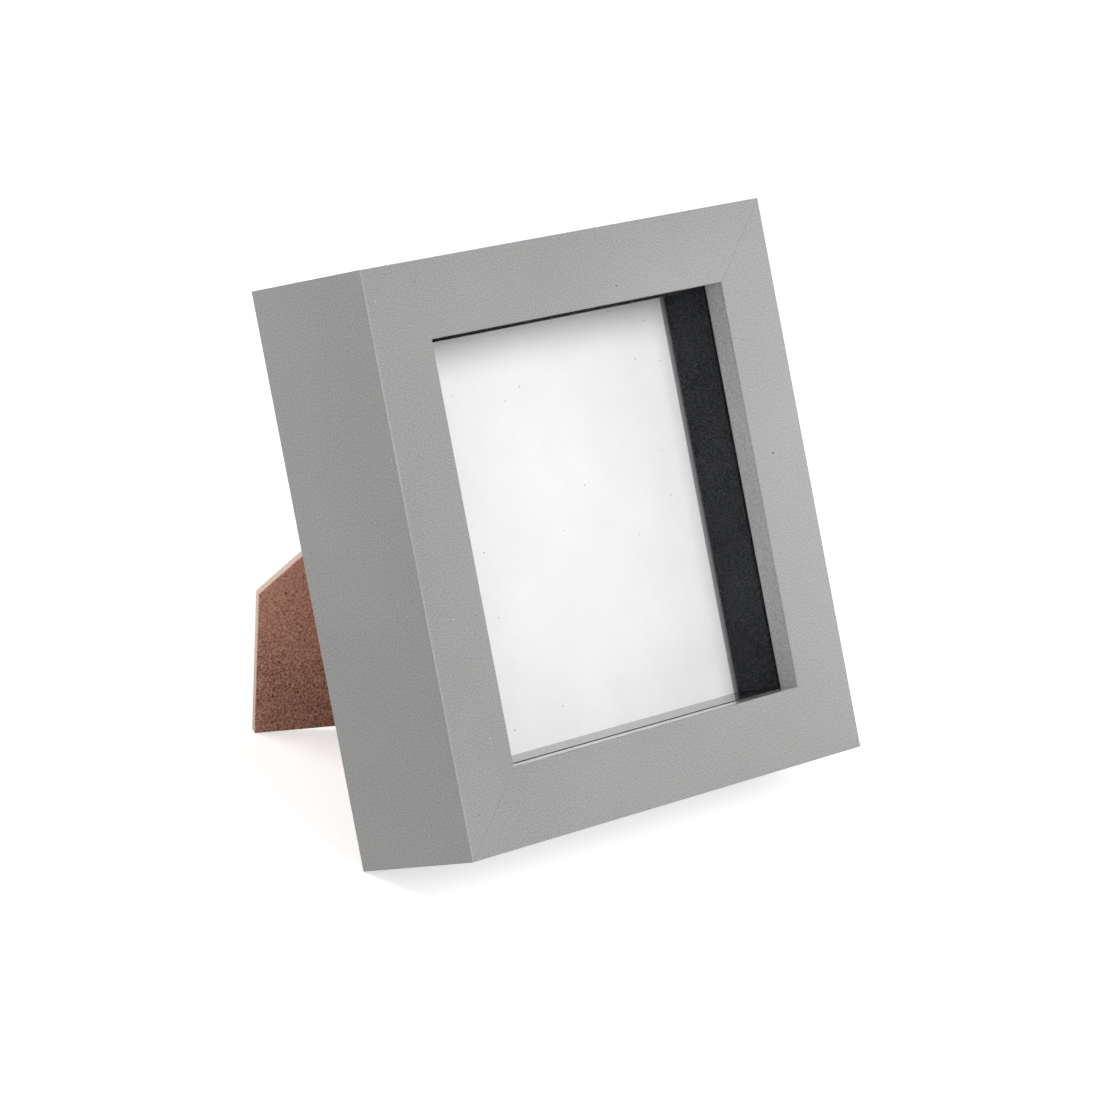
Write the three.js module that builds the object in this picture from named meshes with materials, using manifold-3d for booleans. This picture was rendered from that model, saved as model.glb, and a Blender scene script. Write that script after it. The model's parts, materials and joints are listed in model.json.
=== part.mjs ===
// Shadow box frame: a square mitred frame with a deep box behind its pane, a lift-out back
// held by turn buttons, and a diagonal easel leg on a pin hinge. Millimetres, +Z up.
//
// The frame is drawn upright first: x to the right, y from the front face to the rear, z up,
// with the origin at the centre of the front face. It is then leaned back on its rear bottom edge.
import * as THREE from "three";
import { mergeVertices } from "three/addons/utils/BufferGeometryUtils.js";
import Module from "manifold-3d";

const wasm = await Module();
wasm.setup();

// Rails
const FRAME_SIZE = 133; // outer width and height
const FRAME_DEPTH = 36; // front face to rear face
const BORDER = 18; // outer edge to the opening, seen from the front
const LIP_DEPTH = 5.8; // the lip in front of the pane
const LIP_COVER = 4.5; // how far the lip covers the edge of the pane
const LEDGE_WIDTH = 5.5; // step between the rebate and the recess behind the back board
const MITRE_GAP = 0.12; // glue line at each corner

// What the frame holds, from front to rear
const PANE_THICK = 1;
const SPACER_DEPTH = 14.1;
const SPACER_PROUD = 0.1; // how far the spacer strips stand inside the lip
const SPACER_SHORT = 0.7; // the side strips are cut short, and the top one has settled on them
const CARD_THICK = 0.6;
const BOARD_THICK = 2.5;
const STACK_GAP = 0.1; // between one layer and the next
const EDGE_GAP = 0.4; // between a layer's edge and the rebate

// Corner nails
const NAIL_THICK = 0.6;
const NAIL_DEPTH = 10;
const NAIL_INSET = 3.2; // outer edge of the frame to the middle of a wing
const NAIL_MARGIN = 0.8; // end of a wing to the recess
const NAIL_SUNK = 0.4; // below the rear face
const NAIL_GAP = 0.15;

// Turn buttons and their screws
const BUTTON_WIDTH = 4.8;
const BUTTON_REACH = 11; // pivot to the centre of the round tip
const BUTTON_THICK = 1;
const BUTTON_OFFSET = 22; // along the rail, from its middle
const SCREW_SHANK = 2.2; // diameter
const SCREW_LENGTH = 9; // below the head
const SCREW_HEAD = 4.4; // diameter
const SCREW_HEAD_HEIGHT = 1.4;
const SCREW_CROSS_LENGTH = 2.6;
const SCREW_CROSS_WIDTH = 0.6;
const SCREW_CROSS_DEPTH = 0.8;
const SCREW_HOLE_GAP = 0.15;

// Easel leg
const LEG_FOOT_WIDTH = 53;
const LEG_POINT = 25.6; // height of the pointed end
const HEEL_WIDTH = 5.85; // of the heel at each side of the hinge
const LEG_THICK = 2.3;
const LEG_OPEN = THREE.MathUtils.degToRad(38); // from folded flat to the stop

// Hinge, on the diagonal towards the upper right corner
const HINGE_INSET = 33.55; // corner of the rebate to the hinge axis
const HINGE_LENGTH = 28;
const HINGE_MIDDLE = 11; // length of the leg leaf's knuckle
const LEAF_REACH = 15; // hinge axis to the end of a leaf
const LEAF_CORNER = 4; // cut off each outer corner of a leaf
const LEAF_THICK = 1;
const PIN_DIAMETER = 2;
const KNUCKLE_DIAMETER = 4.4;
const HINGE_RIVET_SPACING = 16; // along the axis
const HINGE_RIVET_REACH = 9; // from the axis

// Rivets
const RIVET_SHANK = 2.4; // diameter
const RIVET_HEAD = 4.4; // diameter
const RIVET_HEAD_HEIGHT = 0.8;
const RIVET_FLAT_HEIGHT = 0.5; // the flattened end

// Wall hanger
const HANGER_DROP = 5.5; // upper edge of the rebate down to the ring's axis
const HANGER_WIDTH = 9;
const HANGER_LENGTH = 10; // ring's axis to the lower end of the plate
const HANGER_THICK = 0.8;
const RING_RADIUS = 7; // to the middle of the wire
const RING_WIRE = 1.4; // diameter

// Clearances
const FIT_GAP = 0.3; // between pieces that rest on each other
const TURN_GAP = 0.1; // radial, round a pin, screw or wire that something turns on
const PIN_GAP = 0.05; // radial, round the hinge pin
const KNUCKLE_GAP = 0.4; // between a knuckle and what turns past it
const RIVET_GAP = 0.15; // under each end of a rivet
const EYE_GAP = 0.2; // between the hanger's eye and its rivet's head
const WALL_GAP = 0.35; // between a turn button's pivot end and the recess
const POINT_GAP = 0.35; // between the folded leg's point and the corner of the rebate
const STOP_GAP = 0.3; // between the leg's heel and the back board when the leg is open
const ROUND = 24; // sides of a round piece

// Places that follow from the sizes above
const HALF = FRAME_SIZE / 2;
const OPENING_HALF = HALF - BORDER;
const REBATE_HALF = OPENING_HALF + LIP_COVER;
const RECESS_HALF = REBATE_HALF + LEDGE_WIDTH;
const REBATE_CORNER = REBATE_HALF * Math.SQRT2; // along the diagonal
const PANE_FRONT = LIP_DEPTH + STACK_GAP;
const SPACER_FRONT = PANE_FRONT + PANE_THICK + STACK_GAP;
const CARD_FRONT = SPACER_FRONT + SPACER_DEPTH + STACK_GAP;
const BOARD_FRONT = CARD_FRONT + CARD_THICK + STACK_GAP;
const BOARD_REAR = BOARD_FRONT + BOARD_THICK;
const PIVOT_HALF = RECESS_HALF - WALL_GAP - Math.max(BUTTON_WIDTH, SCREW_HEAD) / 2;
const BUTTON_FRONT = BOARD_REAR + FIT_GAP;
const SCREW_SEAT = BUTTON_FRONT + BUTTON_THICK + FIT_GAP;
const HINGE_OFFSET = REBATE_CORNER - HINGE_INSET; // centre of the frame to the hinge axis
const LEG_LENGTH = HINGE_OFFSET + REBATE_CORNER - POINT_GAP; // hinge axis to the point
const KNUCKLE_RADIUS = KNUCKLE_DIAMETER / 2;
const PIN_REAR = FIT_GAP + KNUCKLE_RADIUS; // back board to the hinge axis
const LEG_FAR = KNUCKLE_RADIUS - LEAF_THICK - FIT_GAP; // hinge axis to the leg's outer face
const LEG_NEAR = LEG_FAR - LEG_THICK; // hinge axis to the face that the back board hides
const LEAF_NOTCH = KNUCKLE_RADIUS + KNUCKLE_GAP; // keeps a leaf off the other leaf's knuckles
const WIRE_BORE = RING_WIRE / 2 + TURN_GAP;
const HANGER_EYE = WIRE_BORE + HANGER_THICK; // outer radius of the eye round the ring
const HANGER_AXIS = FIT_GAP + HANGER_EYE; // back board to the ring's axis
const HANGER_HEIGHT = REBATE_HALF - HANGER_DROP; // centre of the frame up to the ring's axis
const HANGER_RIVET = HANGER_EYE + EYE_GAP + RIVET_HEAD / 2; // ring's axis down to the rivet
const RIVET_POCKET = RIVET_FLAT_HEIGHT + 2 * RIVET_GAP; // depth, for a flat end to lie flush
const DIAGONAL = Math.PI / 4;

// Each side of the frame is the bottom side turned about the depth axis. The turn buttons on
// neighbouring sides lie to opposite ends, which keeps them clear of the folded leg.
const SIDES = [
  { name: "bottom", turn: 0, buttonX: BUTTON_OFFSET, nail: "bottom_right" },
  { name: "left", turn: Math.PI / 2, buttonX: -BUTTON_OFFSET, nail: "bottom_left" },
  { name: "top", turn: Math.PI, buttonX: BUTTON_OFFSET, nail: "top_left" },
  { name: "right", turn: -Math.PI / 2, buttonX: -BUTTON_OFFSET, nail: "top_right" },
];

const FINISHES = {
  foil: { color: 0xa9a9a8, roughness: 0.55, metalness: 0 },
  glass: { color: 0xf4f8f8, roughness: 0.05, metalness: 0, transparent: true, opacity: 0.2 },
  black: { color: 0x2d2f30, roughness: 0.8, metalness: 0 },
  card: { color: 0xe9e9ea, roughness: 0.9, metalness: 0 },
  hardboard: { color: 0x96705f, roughness: 0.8, metalness: 0 },
  steel: { color: 0xb4b4b0, roughness: 0.35, metalness: 1 },
  darkSteel: { color: 0x6f6f6c, roughness: 0.45, metalness: 1 },
};

// A closed geometry as a solid that can be cut and joined.
function solid(geometry) {
  const bare = geometry.index ? geometry.toNonIndexed() : geometry.clone();
  bare.deleteAttribute("normal");
  bare.deleteAttribute("uv");
  const merged = mergeVertices(bare);
  const mesh = new wasm.Mesh({
    numProp: 3,
    vertProperties: merged.getAttribute("position").array,
    triVerts: new Uint32Array(merged.index.array),
  });
  return new wasm.Manifold(mesh);
}

// The first geometry joined with those added, less those cut away, as one geometry.
function carve(base, { add = [], keep = [], cut = [] }) {
  let body = solid(base);
  for (const geometry of add) body = body.add(solid(geometry));
  for (const geometry of keep) body = body.intersect(solid(geometry));
  for (const geometry of cut) body = body.subtract(solid(geometry));
  const { vertProperties, triVerts } = body.getMesh();
  const result = new THREE.BufferGeometry();
  result.setAttribute("position", new THREE.BufferAttribute(vertProperties, 3));
  result.setIndex(new THREE.BufferAttribute(triVerts, 1));
  result.computeVertexNormals();
  return result;
}

function piece(name, geometry, finish) {
  const mesh = new THREE.Mesh(geometry, new THREE.MeshStandardMaterial(FINISHES[finish]));
  mesh.name = name;
  return mesh;
}

function polygon(points) {
  return new THREE.Shape(points.map(([x, z]) => new THREE.Vector2(x, z)));
}

function rectangle(halfWidth, low, high) {
  return polygon([
    [-halfWidth, low],
    [halfWidth, low],
    [halfWidth, high],
    [-halfWidth, high],
  ]);
}

// An outline in x and z, made solid between two depths.
function slab(outline, front, rear) {
  const options = { depth: rear - front, bevelEnabled: false, curveSegments: ROUND / 2 };
  return new THREE.ExtrudeGeometry(outline, options).rotateX(Math.PI / 2).translate(0, rear, 0);
}

// A round bar along the depth axis, at (x, z), between two depths.
function bore(radius, x, z, front, rear) {
  const bar = new THREE.CylinderGeometry(radius, radius, rear - front, ROUND);
  return bar.translate(x, (front + rear) / 2, z);
}

// A round bar along x, centred on the given x.
function rod(radius, length, x = 0) {
  return new THREE.CylinderGeometry(radius, radius, length, ROUND).rotateZ(Math.PI / 2).translate(x, 0, 0);
}

// A turned piece about the depth axis, from [radius, depth] points in order of depth.
function turned(points) {
  const profile = points.map(([radius, depth]) => new THREE.Vector2(radius, depth));
  return new THREE.LatheGeometry(profile, ROUND);
}

// The two-winged nail across the bottom right mitre, or its slot when grown by a gap.
function nailShape(grow) {
  const at = HALF - NAIL_INSET;
  const half = NAIL_THICK / 2 + grow;
  const tip = RECESS_HALF + NAIL_MARGIN - grow;
  return polygon([
    [tip, -at - half],
    [at + half, -at - half],
    [at + half, -tip],
    [at - half, -tip],
    [at - half, -at + half],
    [tip, -at + half],
  ]);
}

// One mitred rail, drawn as the bottom one, with slots for a nail at each end and a screw hole.
function rail(buttonX) {
  const profile = polygon([
    [0, 0],
    [FRAME_DEPTH, 0],
    [FRAME_DEPTH, HALF - RECESS_HALF],
    [BOARD_REAR, HALF - RECESS_HALF],
    [BOARD_REAR, HALF - REBATE_HALF],
    [LIP_DEPTH, HALF - REBATE_HALF],
    [LIP_DEPTH, BORDER],
    [0, BORDER],
  ]);
  const along = new THREE.Matrix4().makeBasis(
    new THREE.Vector3(0, 1, 0),
    new THREE.Vector3(0, 0, 1),
    new THREE.Vector3(1, 0, 0),
  );
  const bar = new THREE.ExtrudeGeometry(profile, { depth: FRAME_SIZE, bevelEnabled: false });
  bar.applyMatrix4(along).translate(-HALF, 0, -HALF);

  const setBack = MITRE_GAP * Math.SQRT1_2;
  const past = HALF + BORDER;
  const mitre = polygon([
    [setBack - past, -past],
    [past - setBack, -past],
    [0, -setBack],
  ]);
  const nailFront = FRAME_DEPTH - NAIL_SUNK - NAIL_DEPTH - NAIL_GAP;
  const slot = slab(nailShape(NAIL_GAP), nailFront, FRAME_DEPTH + FIT_GAP);
  const holeFront = SCREW_SEAT - SCREW_LENGTH - FIT_GAP;
  const holeRadius = SCREW_SHANK / 2 + SCREW_HOLE_GAP;
  return carve(bar, {
    keep: [slab(mitre, -FIT_GAP, FRAME_DEPTH + FIT_GAP)],
    cut: [
      slot,
      slot.clone().rotateY(Math.PI / 2),
      bore(holeRadius, buttonX, -PIVOT_HALF, holeFront, BOARD_REAR + FIT_GAP),
    ],
  });
}

// A flat steel button with round ends, its pivot at the origin and its tip over the back board.
function turnButton() {
  const half = BUTTON_WIDTH / 2;
  const outline = new THREE.Shape();
  outline.absarc(0, 0, half, Math.PI, 2 * Math.PI);
  outline.absarc(0, BUTTON_REACH, half, 0, Math.PI);
  outline.closePath();
  const hole = new THREE.Path();
  hole.absarc(0, 0, SCREW_SHANK / 2 + TURN_GAP, 0, 2 * Math.PI, true);
  outline.holes.push(hole);
  return slab(outline, 0, BUTTON_THICK);
}

// A domed end for a turned piece, as points from its rim to its crown on the axis.
function dome(radius, rim, height) {
  const steps = ROUND / 8;
  const points = [];
  for (let step = 0; step < steps; step += 1) {
    const angle = (step / steps) * (Math.PI / 2);
    points.push([radius * Math.cos(angle), rim + height * Math.sin(angle)]);
  }
  return [...points, [0, rim + height]];
}

// A pan head screw with a cross recess, seated at depth 0.
function buttonScrew() {
  const shank = SCREW_SHANK / 2;
  const head = SCREW_HEAD / 2;
  const rim = SCREW_HEAD_HEIGHT / 2;
  const body = turned([
    [0, -SCREW_LENGTH],
    [shank, shank - SCREW_LENGTH],
    [shank, 0],
    [head, 0],
    ...dome(head, rim, SCREW_HEAD_HEIGHT - rim),
  ]);
  const slot = new THREE.BoxGeometry(SCREW_CROSS_LENGTH, 2 * SCREW_CROSS_DEPTH, SCREW_CROSS_WIDTH);
  slot.translate(0, SCREW_HEAD_HEIGHT, 0);
  return carve(body, { cut: [slot, slot.clone().rotateY(Math.PI / 2)] });
}

// A rivet with a flat end and a domed head, the work between the two given depths.
function rivet(flatSeat, headSeat) {
  const shank = RIVET_SHANK / 2;
  const head = RIVET_HEAD / 2;
  return turned([
    [0, flatSeat - RIVET_FLAT_HEIGHT],
    [head, flatSeat - RIVET_FLAT_HEIGHT],
    [head, flatSeat],
    [shank, flatSeat],
    [shank, headSeat],
    ...dome(head, headSeat, RIVET_HEAD_HEIGHT),
  ]);
}

function rivetHole(x, z, front, rear) {
  return bore(RIVET_SHANK / 2 + TURN_GAP, x, z, front, rear);
}

// A pocket in a board's front face, where a rivet's flat end lies flush.
function rivetPocket(x, z, front) {
  return bore(RIVET_HEAD / 2 + FIT_GAP, x, z, front - FIT_GAP, front + RIVET_POCKET);
}

// Hinge leaf outline, from the axis at z = 0 to its cut corners, upwards for 1 or downwards for -1.
function leafOutline(way) {
  const half = HINGE_LENGTH / 2;
  const shoulder = way * (LEAF_REACH - LEAF_CORNER);
  const end = way * LEAF_REACH;
  return polygon([
    [-half, 0],
    [half, 0],
    [half, shoulder],
    [half - LEAF_CORNER, end],
    [LEAF_CORNER - half, end],
    [-half, shoulder],
  ]);
}

// Rivet places on a leaf: [x, distance from the axis].
const leafRivets = [-0.5, 0.5].map((side) => [side * HINGE_RIVET_SPACING, HINGE_RIVET_REACH]);

const pinBore = () => rod(PIN_DIAMETER / 2 + PIN_GAP, HINGE_LENGTH + FIT_GAP);

// The leaf on the back board, with a knuckle at each end and a notch for the leg's knuckle.
function boardLeaf() {
  const end = (HINGE_LENGTH - HINGE_MIDDLE) / 2 - FIT_GAP;
  const knuckles = [-1, 1].map((side) => rod(KNUCKLE_RADIUS, end, (side * (HINGE_LENGTH - end)) / 2));
  const front = -KNUCKLE_RADIUS;
  const rear = LEAF_THICK - KNUCKLE_RADIUS;
  const notch = rectangle(HINGE_MIDDLE / 2 + FIT_GAP, -FIT_GAP, LEAF_NOTCH);
  return carve(slab(leafOutline(1), front, rear), {
    add: knuckles,
    cut: [
      pinBore(),
      slab(notch, -KNUCKLE_DIAMETER, KNUCKLE_DIAMETER),
      ...leafRivets.map(([x, z]) => rivetHole(x, z, front - FIT_GAP, rear + FIT_GAP)),
    ],
  });
}

// The leaf on the leg, drawn with the leg folded: one knuckle in the middle, its plate below the axis.
function legLeaf() {
  const front = KNUCKLE_RADIUS - LEAF_THICK;
  const outer = HINGE_LENGTH / 2 + FIT_GAP;
  const inner = HINGE_MIDDLE / 2;
  const notch = rectangle((outer - inner) / 2, -LEAF_NOTCH, KNUCKLE_RADIUS);
  const notches = [-1, 1].map((side) => {
    const block = slab(notch, -KNUCKLE_DIAMETER, KNUCKLE_DIAMETER);
    return block.translate((side * (outer + inner)) / 2, 0, 0);
  });
  return carve(slab(leafOutline(-1), front, KNUCKLE_RADIUS), {
    add: [rod(KNUCKLE_RADIUS, HINGE_MIDDLE)],
    cut: [
      pinBore(),
      ...notches,
      ...leafRivets.map(([x, z]) => rivetHole(x, -z, front - FIT_GAP, KNUCKLE_RADIUS + FIT_GAP)),
    ],
  });
}

// The leg, drawn folded: a tapered board with a pointed end. Its two heels reach past the hinge
// axis, one at each side of the hinge, and meet the back board when the leg is open.
function easelLeg() {
  const heelDrop = PIN_REAR + LEG_NEAR * Math.cos(LEG_OPEN) - STOP_GAP;
  const heel = heelDrop / Math.sin(LEG_OPEN);
  const foot = LEG_FOOT_WIDTH / 2;
  const notch = HINGE_LENGTH / 2 + KNUCKLE_GAP;
  const top = notch + HEEL_WIDTH;
  const outline = polygon([
    [0, -LEG_LENGTH],
    [foot, LEG_POINT - LEG_LENGTH],
    [top, heel],
    [notch, heel],
    [notch, -LEAF_NOTCH],
    [-notch, -LEAF_NOTCH],
    [-notch, heel],
    [-top, heel],
    [-foot, LEG_POINT - LEG_LENGTH],
  ]);
  return carve(slab(outline, LEG_NEAR, LEG_FAR), {
    cut: leafRivets.flatMap(([x, z]) => [
      rivetHole(x, -z, LEG_NEAR - FIT_GAP, LEG_FAR + FIT_GAP),
      rivetPocket(x, -z, LEG_NEAR),
    ]),
  });
}

// The hanger's plate with a round eye along its top edge, on the back board at depth 0.
function hangerPlate() {
  const plate = slab(rectangle(HANGER_WIDTH / 2, -HANGER_LENGTH, 0), FIT_GAP, FIT_GAP + HANGER_THICK);
  return carve(plate, {
    add: [rod(HANGER_EYE, HANGER_WIDTH).translate(0, HANGER_AXIS, 0)],
    cut: [
      rod(WIRE_BORE, HANGER_WIDTH + FIT_GAP).translate(0, HANGER_AXIS, 0),
      rivetHole(0, -HANGER_RIVET, 0, HANGER_THICK + 2 * FIT_GAP),
    ],
  });
}

// A D-shaped wire ring that hangs below its straight side.
function hangerRing() {
  const wire = RING_WIRE / 2;
  const size = 2 * (RING_RADIUS + RING_WIRE);
  const round = new THREE.TorusGeometry(RING_RADIUS, wire, ROUND / 2, 2 * ROUND).rotateX(Math.PI / 2);
  const lower = new THREE.BoxGeometry(size, size, size).translate(0, 0, -size / 2);
  const half = carve(round, { keep: [lower] });
  const corners = [-1, 1].map((side) => {
    return new THREE.SphereGeometry(wire, ROUND / 2, ROUND / 4).translate(side * RING_RADIUS, 0, 0);
  });
  return carve(rod(wire, 2 * RING_RADIUS), { add: [half, ...corners] });
}

// The four rails with their corner nails, turn buttons and screws.
function outerFrame() {
  const group = new THREE.Group();
  const nailRear = FRAME_DEPTH - NAIL_SUNK;
  for (const { name, turn, buttonX, nail } of SIDES) {
    const side = new THREE.Group();
    side.rotation.y = turn;
    side.add(piece(`rail_${name}`, rail(buttonX), "foil"));
    side.add(piece(`corner_nail_${nail}`, slab(nailShape(0), nailRear - NAIL_DEPTH, nailRear), "steel"));
    const button = piece(`turn_button_${name}`, turnButton(), "steel");
    button.position.set(buttonX, BUTTON_FRONT, -PIVOT_HALF);
    const screw = piece(`button_screw_${name}`, buttonScrew(), "darkSteel");
    screw.position.set(buttonX, SCREW_SEAT, -PIVOT_HALF);
    side.add(button, screw);
    group.add(side);
  }
  return group;
}

// Four loose strips between the pane and the insert. The side ones stand on the bottom one and
// carry the top one, which has come down as far as they are short.
function spacerStrips() {
  const group = new THREE.Group();
  const outer = REBATE_HALF - FIT_GAP;
  const inner = OPENING_HALF - SPACER_PROUD;
  const rear = SPACER_FRONT + SPACER_DEPTH;
  for (const { name, turn } of SIDES) {
    const across = name === "top" || name === "bottom";
    const half = across ? outer : inner - FIT_GAP - SPACER_SHORT / 2;
    const strip = slab(rectangle(half, -outer, -inner), SPACER_FRONT, rear);
    const mesh = piece(`spacer_${name}`, strip, "black");
    mesh.rotation.y = turn;
    mesh.position.z = (-SPACER_SHORT * (1 - Math.cos(turn))) / 2;
    group.add(mesh);
  }
  return group;
}

// A flat square layer that lies in the rebate.
function layer(front, thick) {
  const half = REBATE_HALF - EDGE_GAP;
  return slab(rectangle(half, -half, half), front, front + thick);
}

// The back board, with a hole and a pocket for each of the rivets.
function backBoard() {
  const holes = leafRivets.map(([x, z]) => {
    return new THREE.Vector3(x, 0, HINGE_OFFSET + z).applyAxisAngle(THREE.Object3D.DEFAULT_UP, DIAGONAL);
  });
  holes.push(new THREE.Vector3(0, 0, HANGER_HEIGHT - HANGER_RIVET));
  return carve(layer(BOARD_FRONT, BOARD_THICK), {
    cut: holes.flatMap(({ x, z }) => [
      rivetHole(x, z, BOARD_FRONT - FIT_GAP, BOARD_REAR + FIT_GAP),
      rivetPocket(x, z, BOARD_FRONT),
    ]),
  });
}

// The hinge, with the leg in a group of its own that turns about the hinge axis.
function easel() {
  const hinge = new THREE.Group();
  hinge.position.set(HINGE_OFFSET * Math.SQRT1_2, BOARD_REAR + PIN_REAR, HINGE_OFFSET * Math.SQRT1_2);
  hinge.rotation.y = DIAGONAL;
  hinge.add(piece("hinge_board_leaf", boardLeaf(), "steel"));
  hinge.add(piece("hinge_pin", rod(PIN_DIAMETER / 2, HINGE_LENGTH), "darkSteel"));
  const leg = new THREE.Group();
  leg.rotation.x = LEG_OPEN;
  leg.add(piece("strut_leg", easelLeg(), "hardboard"));
  leg.add(piece("hinge_leg_leaf", legLeaf(), "steel"));

  const boardRivet = rivet(
    RIVET_FLAT_HEIGHT + RIVET_GAP - BOARD_THICK - PIN_REAR,
    LEAF_THICK - KNUCKLE_RADIUS + RIVET_GAP,
  );
  const legRivet = rivet(
    LEG_NEAR + RIVET_FLAT_HEIGHT + RIVET_GAP,
    KNUCKLE_RADIUS + RIVET_GAP,
  );
  leafRivets.forEach(([x, z], index) => {
    const end = index === 0 ? "upper" : "lower";
    const inBoard = piece(`board_rivet_${end}`, boardRivet, "steel");
    inBoard.position.set(x, 0, z);
    hinge.add(inBoard);
    const inLeg = piece(`leg_rivet_${end}`, legRivet, "steel");
    inLeg.position.set(x, 0, -z);
    leg.add(inLeg);
  });
  hinge.add(leg);
  return hinge;
}

// The wall hanger, with its ring hanging plumb when the frame leans.
function hanger(lean) {
  const group = new THREE.Group();
  group.position.set(0, BOARD_REAR, HANGER_HEIGHT);
  group.add(piece("hanger_plate", hangerPlate(), "steel"));
  const ring = piece("hanger_ring", hangerRing(), "steel");
  ring.position.y = HANGER_AXIS;
  ring.rotation.x = lean;
  const flatSeat = RIVET_FLAT_HEIGHT + RIVET_GAP - BOARD_THICK;
  const headSeat = FIT_GAP + HANGER_THICK + RIVET_GAP;
  const fixing = piece("hanger_rivet", rivet(flatSeat, headSeat), "steel");
  fixing.position.z = -HANGER_RIVET;
  group.add(ring, fixing);
  return group;
}

// How far the frame leans back before the point of the leg meets the surface it stands on.
function leanAngle() {
  const turns = new THREE.Euler(LEG_OPEN, DIAGONAL, 0, "YXZ");
  const angles = [LEG_NEAR, LEG_FAR].map((face) => {
    const point = new THREE.Vector3(0, face, -LEG_LENGTH).applyEuler(turns);
    const height = point.z + HINGE_OFFSET * Math.SQRT1_2 + HALF;
    const behind = point.y + BOARD_REAR + PIN_REAR - FRAME_DEPTH;
    return Math.atan2(height, behind);
  });
  return Math.min(...angles);
}

const lean = leanAngle();
const upright = new THREE.Group();
upright.rotation.x = -lean;
upright.add(outerFrame());
upright.add(piece("glass_pane", layer(PANE_FRONT, PANE_THICK), "glass"));
upright.add(spacerStrips());
upright.add(piece("insert_card", layer(CARD_FRONT, CARD_THICK), "card"));
upright.add(piece("back_board", backBoard(), "hardboard"));
upright.add(easel());
upright.add(hanger(lean));

// The origin is the middle of the footprint, on the surface that the frame stands on.
const shadowBoxFrame = new THREE.Group();
shadowBoxFrame.add(upright);
const extent = new THREE.Box3().setFromObject(shadowBoxFrame, true);
const middle = extent.getCenter(new THREE.Vector3());
upright.position.set(-middle.x, -middle.y, -extent.min.z);

export default shadowBoxFrame;
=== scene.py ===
"""Shadow box frame: its finely modelled pieces, finishes, studio and camera.

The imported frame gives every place. A piece is drawn in millimetres in the axes of the leaning
box, the hinge, the open leg or the hanger, and is then put in place in the shared frame.
"""

import json
import logging
import math
from collections.abc import Callable
from dataclasses import dataclass, field, replace
from enum import Enum

import bmesh
import bpy
from bmesh.types import BMEdge, BMesh, BMFace, BMVert
from bpy.types import Material, Node, NodeSocket, NodeTree, Object, World
from mathutils import Matrix, Vector

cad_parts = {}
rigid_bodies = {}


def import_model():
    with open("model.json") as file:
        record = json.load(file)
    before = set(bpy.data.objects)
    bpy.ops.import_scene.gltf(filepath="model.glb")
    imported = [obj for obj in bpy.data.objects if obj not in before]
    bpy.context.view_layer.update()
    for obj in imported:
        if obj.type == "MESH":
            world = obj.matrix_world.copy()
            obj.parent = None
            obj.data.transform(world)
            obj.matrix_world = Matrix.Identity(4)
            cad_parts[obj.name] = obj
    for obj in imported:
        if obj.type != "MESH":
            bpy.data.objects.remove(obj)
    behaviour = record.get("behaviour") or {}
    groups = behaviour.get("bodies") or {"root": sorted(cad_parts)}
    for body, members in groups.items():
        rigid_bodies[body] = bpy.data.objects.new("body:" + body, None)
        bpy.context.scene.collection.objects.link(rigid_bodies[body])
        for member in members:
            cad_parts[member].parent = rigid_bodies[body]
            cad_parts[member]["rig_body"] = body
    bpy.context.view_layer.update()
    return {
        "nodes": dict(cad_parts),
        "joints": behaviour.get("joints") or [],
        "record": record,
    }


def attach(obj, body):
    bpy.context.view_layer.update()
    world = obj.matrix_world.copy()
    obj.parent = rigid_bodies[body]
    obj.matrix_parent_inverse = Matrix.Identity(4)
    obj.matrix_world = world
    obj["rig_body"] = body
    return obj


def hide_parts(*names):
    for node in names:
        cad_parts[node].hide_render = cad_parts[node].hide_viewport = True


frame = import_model()
JOINTS = {joint["name"]: joint for joint in frame["joints"]}

MM = 0.001  # metres in a millimetre
MERGE = 0.001  # vertices closer than this are one, in mm
NEAR = 0.01  # vertices closer than this to a plane are on it, in mm
FLAT = math.radians(0.5)  # faces closer in angle than this are one flat
CREASE = math.radians(40)  # edges sharper than this stay crisp
ALONG = 0.99  # least part of a direction for one that runs along an axis
TURNED = 0.3  # least part of a normal for a face that is turned towards an axis
EDGE_ON = 0.5  # most part of a normal along the depth for a face on a board's edge
NOISE_SPAN = (0.3, 0.7)  # most of a noise pattern lies between these
FINE, SMOOTH = 4.0, 2.0  # octaves of a pattern
BITE = 0.75  # what each octave of a grain keeps of the last
LAYER_SHIFT = 31.7  # from one layer of specks to the next, in mm
SHARE, FIRST, SECOND, MIXED = 0, 6, 7, 2  # sockets of a node that mixes colours
LOG = logging.getLogger("shadow_box_frame")


def linear(code: str) -> tuple[float, float, float, float]:
    """Turn an sRGB hex colour to linear light.

    Args:
        code: Six hex digits.

    Returns:
        Red, green and blue in linear light, and an alpha of 1.
    """
    parts = [int(code[start : start + 2], 16) / 255 for start in (0, 2, 4)]
    red, green, blue = [c / 12.92 if c <= 0.04045 else ((c + 0.055) / 1.055) ** 2.4 for c in parts]
    return red, green, blue, 1.0


def add(tree: NodeTree, kind: str, inputs: dict[str | int, object], **settings: object) -> Node:
    """Add a node with its settings, values and links.

    Args:
        tree: Node tree of a material or the world.
        kind: Blender's name for the node.
        inputs: What each input holds, by its name or number: an output to link, or a value.
        settings: The node's own settings.

    Returns:
        The new node.
    """
    node = tree.nodes.new(kind)
    for name, value in settings.items():
        setattr(node, name, value)
    for key, value in inputs.items():
        if isinstance(value, NodeSocket):
            tree.links.new(value, node.inputs[key])
        else:
            node.inputs[key].default_value = value
    return node


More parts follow.
